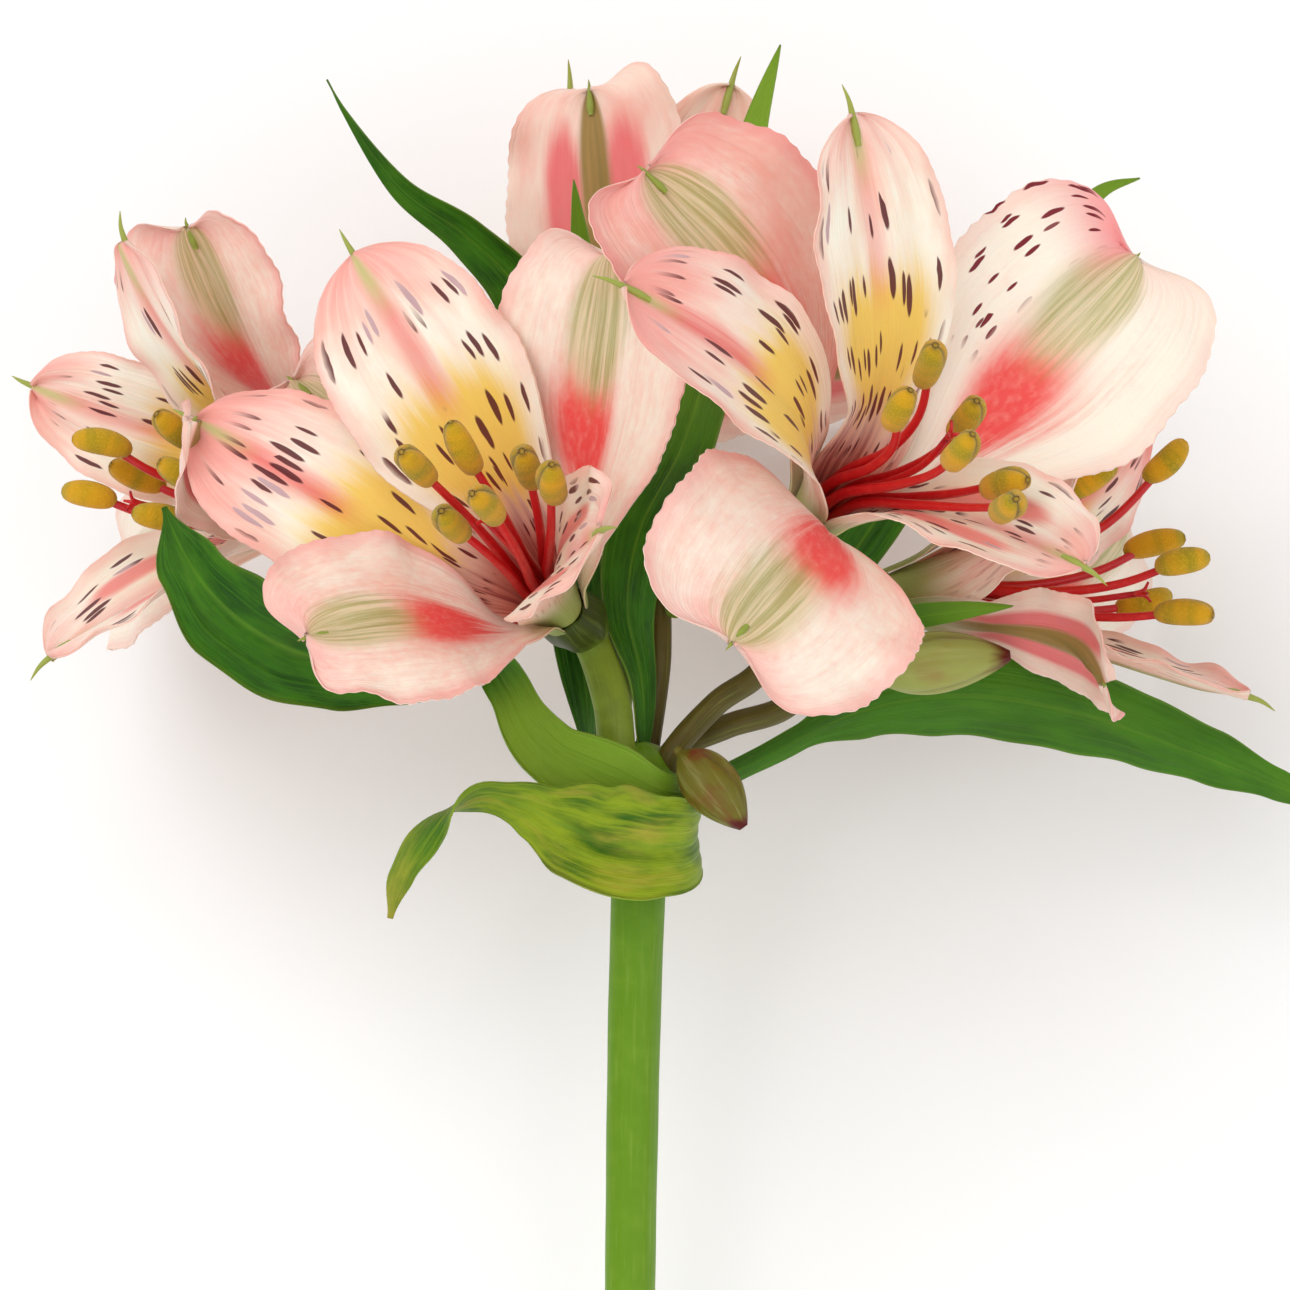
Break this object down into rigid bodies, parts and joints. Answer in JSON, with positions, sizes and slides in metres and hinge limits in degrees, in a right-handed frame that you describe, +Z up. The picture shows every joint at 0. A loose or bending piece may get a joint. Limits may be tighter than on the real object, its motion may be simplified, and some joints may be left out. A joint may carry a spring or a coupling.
{
  "type": "cut alstroemeria",
  "caption": "Cut stem of pink and cream alstroemeria in full bloom, with spotted tepals, buds and twisting green leaves, lying on its side.",
  "frame": {"origin": "middle of the footprint, on the surface the stem lies on", "axes": "+Z up, +Y along the stem from its cut end to the flowers, +X to the right as the showiest flowers are seen"},
  "size_m": [0.138, 0.1896, 0.0904],
  "materials": {
    "outer_tepal": "soft satin petal, coral blotch, olive tip",
    "inner_tepal": "soft satin petal, cream and yellow with maroon dashes",
    "stamen": "glossy red filaments, matt mustard anthers",
    "pistil": "satin",
    "stalk": "smooth satin green stem",
    "leaf": "waxy satin leaf with fine lengthwise veins",
    "bud": "smooth satin bud"
  },
  "bodies": {
    "root": {"back_left_left_inner_tepal": "inner_tepal", "back_left_left_outer_tepal": "outer_tepal", "back_left_low_inner_tepal": "inner_tepal", "back_left_pedicel": "stalk", "back_left_pistil": "pistil", "back_left_right_inner_tepal": "inner_tepal", "back_left_right_outer_tepal": "outer_tepal", "back_left_stamens": "stamen", "back_left_top_outer_tepal": "outer_tepal", "back_right_left_inner_tepal": "inner_tepal", "back_right_left_outer_tepal": "outer_tepal", "back_right_low_inner_tepal": "inner_tepal", "back_right_pedicel": "stalk", "back_right_pistil": "pistil", "back_right_right_inner_tepal": "inner_tepal", "back_right_right_outer_tepal": "outer_tepal", "back_right_stamens": "stamen", "back_right_top_outer_tepal": "outer_tepal", "back_top_left_inner_tepal": "inner_tepal", "back_top_left_outer_tepal": "outer_tepal", "back_top_low_inner_tepal": "inner_tepal", "back_top_pedicel": "stalk", "back_top_pistil": "pistil", "back_top_right_inner_tepal": "inner_tepal", "back_top_right_outer_tepal": "outer_tepal", "back_top_stamens": "stamen", "back_top_top_outer_tepal": "outer_tepal", "curled_leaf": "leaf", "front_left_left_inner_tepal": "inner_tepal", "front_left_left_outer_tepal": "outer_tepal", "front_left_low_inner_tepal": "inner_tepal", "front_left_pedicel": "stalk", "front_left_pistil": "pistil", "front_left_right_inner_tepal": "inner_tepal", "front_left_right_outer_tepal": "outer_tepal", "front_left_stamens": "stamen", "front_left_top_outer_tepal": "outer_tepal", "front_right_left_inner_tepal": "inner_tepal", "front_right_left_outer_tepal": "outer_tepal", "front_right_low_inner_tepal": "inner_tepal", "front_right_pedicel": "stalk", "front_right_pistil": "pistil", "front_right_right_inner_tepal": "inner_tepal", "front_right_right_outer_tepal": "outer_tepal", "front_right_stamens": "stamen", "front_right_top_outer_tepal": "outer_tepal", "inner_bract": "leaf", "left_leaf": "leaf", "low_bud": "bud", "main_stem": "stalk", "ray_bract": "leaf", "right_bud": "bud", "right_leaf": "leaf", "small_bract": "leaf", "tall_leaf": "leaf", "upper_left_leaf": "leaf", "upper_right_leaf": "leaf"}
  },
  "joints": []
}
